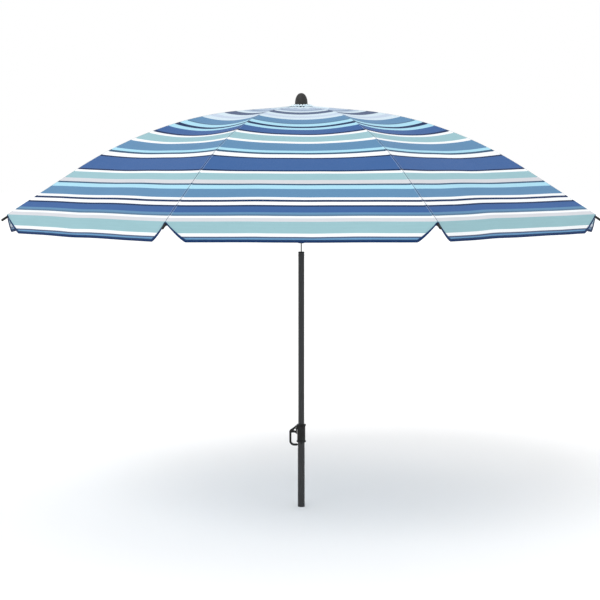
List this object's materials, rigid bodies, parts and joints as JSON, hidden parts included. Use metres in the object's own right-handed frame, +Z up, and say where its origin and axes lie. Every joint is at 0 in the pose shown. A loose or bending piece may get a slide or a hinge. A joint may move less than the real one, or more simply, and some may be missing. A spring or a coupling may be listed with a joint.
{
  "type": "beach umbrella",
  "caption": "Beach umbrella: a telescopic pole with a lever lock and a tilt joint, under a ribbed folding canopy with a valance and a domed finial.",
  "frame": {"origin": "middle of the pole's lower end", "axes": "+Z up along the pole; panel middles face +X, -X, +Y and -Y, and the lock lever is on -X"},
  "size_m": [1.7484, 1.7484, 1.3075],
  "materials": {
    "pole_coating": "satin powder coat",
    "rib_coating": "satin powder coat",
    "black_plastic": "moulded, fine texture",
    "zinc_steel": "zinc plated",
    "canopy_cloth": "plain woven polyester with printed stripes"
  },
  "bodies": {
    "lower_pole": {"lower_tube": "pole_coating", "foot_plug": "black_plastic", "lock_sleeve": "black_plastic", "sleeve_rivet": "black_plastic", "lever_pin": "zinc_steel"},
    "lock_lever": {"lock_lever": "black_plastic"},
    "main_pole": {"main_tube": "pole_coating", "guide_bush": "black_plastic", "tilt_plug": "black_plastic", "tilt_pin": "zinc_steel"},
    "canopy_pole": {"canopy_tube": "pole_coating", "canopy_plug": "black_plastic", "tilt_blade": "zinc_steel", "blade_rivets": "zinc_steel", "crown_hub": "black_plastic", "hub_ring": "zinc_steel", "hub_cap": "black_plastic", "finial_stud": "zinc_steel", "crown_washer": "canopy_cloth", "finial": "black_plastic"},
    "runner": {"runner": "black_plastic", "runner_ring": "zinc_steel", "latch_pin": "zinc_steel"},
    "runner_latch": {"runner_latch": "black_plastic"},
    "rib_1": {"rib_1": "rib_coating", "rib_tip_1": "black_plastic", "canopy_panel_1": "canopy_cloth"},
    "rib_2": {"rib_2": "rib_coating", "rib_tip_2": "black_plastic", "canopy_panel_2": "canopy_cloth"},
    "rib_3": {"rib_3": "rib_coating", "rib_tip_3": "black_plastic", "canopy_panel_3": "canopy_cloth"},
    "rib_4": {"rib_4": "rib_coating", "rib_tip_4": "black_plastic", "canopy_panel_4": "canopy_cloth"},
    "rib_5": {"rib_5": "rib_coating", "rib_tip_5": "black_plastic", "canopy_panel_5": "canopy_cloth"},
    "rib_6": {"rib_6": "rib_coating", "rib_tip_6": "black_plastic", "canopy_panel_6": "canopy_cloth"},
    "rib_7": {"rib_7": "rib_coating", "rib_tip_7": "black_plastic", "canopy_panel_7": "canopy_cloth"},
    "rib_8": {"rib_8": "rib_coating", "rib_tip_8": "black_plastic", "canopy_panel_8": "canopy_cloth"},
    "stretcher_1": {"stretcher_1": "rib_coating"},
    "stretcher_2": {"stretcher_2": "rib_coating"},
    "stretcher_3": {"stretcher_3": "rib_coating"},
    "stretcher_4": {"stretcher_4": "rib_coating"},
    "stretcher_5": {"stretcher_5": "rib_coating"},
    "stretcher_6": {"stretcher_6": "rib_coating"},
    "stretcher_7": {"stretcher_7": "rib_coating"},
    "stretcher_8": {"stretcher_8": "rib_coating"}
  },
  "joints": [
    {"name": "lock_lever", "type": "hinge", "parent": "lower_pole", "child": "lock_lever", "pos_m": [-0.017, 0, 0.256], "axis": [0, 1, 0], "range_deg": [0, 18], "stiffness_Nm_per_rad": 0.15, "springref_deg": -11.46},
    {"name": "height_slide", "type": "slide", "parent": "lower_pole", "child": "main_pole", "axis": [0, 0, 1], "range_m": [0, 0.15]},
    {"name": "tilt", "type": "hinge", "parent": "main_pole", "child": "canopy_pole", "pos_m": [0, 0, 0.802], "axis": [1, 0, 0], "range_deg": [-35, 0]},
    {"name": "runner_slide", "type": "slide", "parent": "canopy_pole", "child": "runner", "axis": [0, 0, -1], "range_m": [0, 0.61359]},
    {"name": "runner_latch", "type": "hinge", "parent": "runner", "child": "runner_latch", "pos_m": [0, -0.0176, 0.985], "axis": [-1, 0, 0], "range_deg": [0, 12], "stiffness_Nm_per_rad": 0.02, "springref_deg": -11.46},
    {"name": "rib_1_fold", "type": "hinge", "parent": "canopy_pole", "child": "rib_1", "pos_m": [0.01478, 0.00612, 1.256], "axis": [-0.3827, 0.9239, 0], "range_deg": [0, 67.01], "deforming": ["canopy_panel_1"]},
    {"name": "stretcher_1_turn", "type": "hinge", "parent": "rib_1", "child": "stretcher_1", "pos_m": [0.40516, 0.16782, 1.18777], "axis": [-0.3827, 0.9239, 0], "range_deg": [-121.51, 0]},
    {"name": "rib_2_fold", "type": "hinge", "parent": "canopy_pole", "child": "rib_2", "pos_m": [0.00612, 0.01478, 1.256], "axis": [-0.9239, 0.3827, 0], "range_deg": [0, 67.01], "deforming": ["canopy_panel_2"]},
    {"name": "stretcher_2_turn", "type": "hinge", "parent": "rib_2", "child": "stretcher_2", "pos_m": [0.16782, 0.40516, 1.18777], "axis": [-0.9239, 0.3827, 0], "range_deg": [-121.51, 0]},
    {"name": "rib_3_fold", "type": "hinge", "parent": "canopy_pole", "child": "rib_3", "pos_m": [-0.00612, 0.01478, 1.256], "axis": [-0.9239, -0.3827, 0], "range_deg": [0, 67.01], "deforming": ["canopy_panel_3"]},
    {"name": "stretcher_3_turn", "type": "hinge", "parent": "rib_3", "child": "stretcher_3", "pos_m": [-0.16782, 0.40516, 1.18777], "axis": [-0.9239, -0.3827, 0], "range_deg": [-121.51, 0]},
    {"name": "rib_4_fold", "type": "hinge", "parent": "canopy_pole", "child": "rib_4", "pos_m": [-0.01478, 0.00612, 1.256], "axis": [-0.3827, -0.9239, 0], "range_deg": [0, 67.01], "deforming": ["canopy_panel_4"]},
    {"name": "stretcher_4_turn", "type": "hinge", "parent": "rib_4", "child": "stretcher_4", "pos_m": [-0.40516, 0.16782, 1.18777], "axis": [-0.3827, -0.9239, 0], "range_deg": [-121.51, 0]},
    {"name": "rib_5_fold", "type": "hinge", "parent": "canopy_pole", "child": "rib_5", "pos_m": [-0.01478, -0.00612, 1.256], "axis": [0.3827, -0.9239, 0], "range_deg": [0, 67.01], "deforming": ["canopy_panel_5"]},
    {"name": "stretcher_5_turn", "type": "hinge", "parent": "rib_5", "child": "stretcher_5", "pos_m": [-0.40516, -0.16782, 1.18777], "axis": [0.3827, -0.9239, 0], "range_deg": [-121.51, 0]},
    {"name": "rib_6_fold", "type": "hinge", "parent": "canopy_pole", "child": "rib_6", "pos_m": [-0.00612, -0.01478, 1.256], "axis": [0.9239, -0.3827, 0], "range_deg": [0, 67.01], "deforming": ["canopy_panel_6"]},
    {"name": "stretcher_6_turn", "type": "hinge", "parent": "rib_6", "child": "stretcher_6", "pos_m": [-0.16782, -0.40516, 1.18777], "axis": [0.9239, -0.3827, 0], "range_deg": [-121.51, 0]},
    {"name": "rib_7_fold", "type": "hinge", "parent": "canopy_pole", "child": "rib_7", "pos_m": [0.00612, -0.01478, 1.256], "axis": [0.9239, 0.3827, 0], "range_deg": [0, 67.01], "deforming": ["canopy_panel_7"]},
    {"name": "stretcher_7_turn", "type": "hinge", "parent": "rib_7", "child": "stretcher_7", "pos_m": [0.16782, -0.40516, 1.18777], "axis": [0.9239, 0.3827, 0], "range_deg": [-121.51, 0]},
    {"name": "rib_8_fold", "type": "hinge", "parent": "canopy_pole", "child": "rib_8", "pos_m": [0.01478, -0.00612, 1.256], "axis": [0.3827, 0.9239, 0], "range_deg": [0, 67.01], "deforming": ["canopy_panel_8"]},
    {"name": "stretcher_8_turn", "type": "hinge", "parent": "rib_8", "child": "stretcher_8", "pos_m": [0.40516, -0.16782, 1.18777], "axis": [0.3827, 0.9239, 0], "range_deg": [-121.51, 0]}
  ],
  "couplings": [
    {"joint": "rib_1_fold", "follows": "runner_slide", "rad_per_m": 1.9058},
    {"joint": "stretcher_1_turn", "follows": "runner_slide", "rad_per_m": -3.4561},
    {"joint": "rib_2_fold", "follows": "runner_slide", "rad_per_m": 1.9058},
    {"joint": "stretcher_2_turn", "follows": "runner_slide", "rad_per_m": -3.4561},
    {"joint": "rib_3_fold", "follows": "runner_slide", "rad_per_m": 1.9058},
    {"joint": "stretcher_3_turn", "follows": "runner_slide", "rad_per_m": -3.4561},
    {"joint": "rib_4_fold", "follows": "runner_slide", "rad_per_m": 1.9058},
    {"joint": "stretcher_4_turn", "follows": "runner_slide", "rad_per_m": -3.4561},
    {"joint": "rib_5_fold", "follows": "runner_slide", "rad_per_m": 1.9058},
    {"joint": "stretcher_5_turn", "follows": "runner_slide", "rad_per_m": -3.4561},
    {"joint": "rib_6_fold", "follows": "runner_slide", "rad_per_m": 1.9058},
    {"joint": "stretcher_6_turn", "follows": "runner_slide", "rad_per_m": -3.4561},
    {"joint": "rib_7_fold", "follows": "runner_slide", "rad_per_m": 1.9058},
    {"joint": "stretcher_7_turn", "follows": "runner_slide", "rad_per_m": -3.4561},
    {"joint": "rib_8_fold", "follows": "runner_slide", "rad_per_m": 1.9058},
    {"joint": "stretcher_8_turn", "follows": "runner_slide", "rad_per_m": -3.4561}
  ]
}
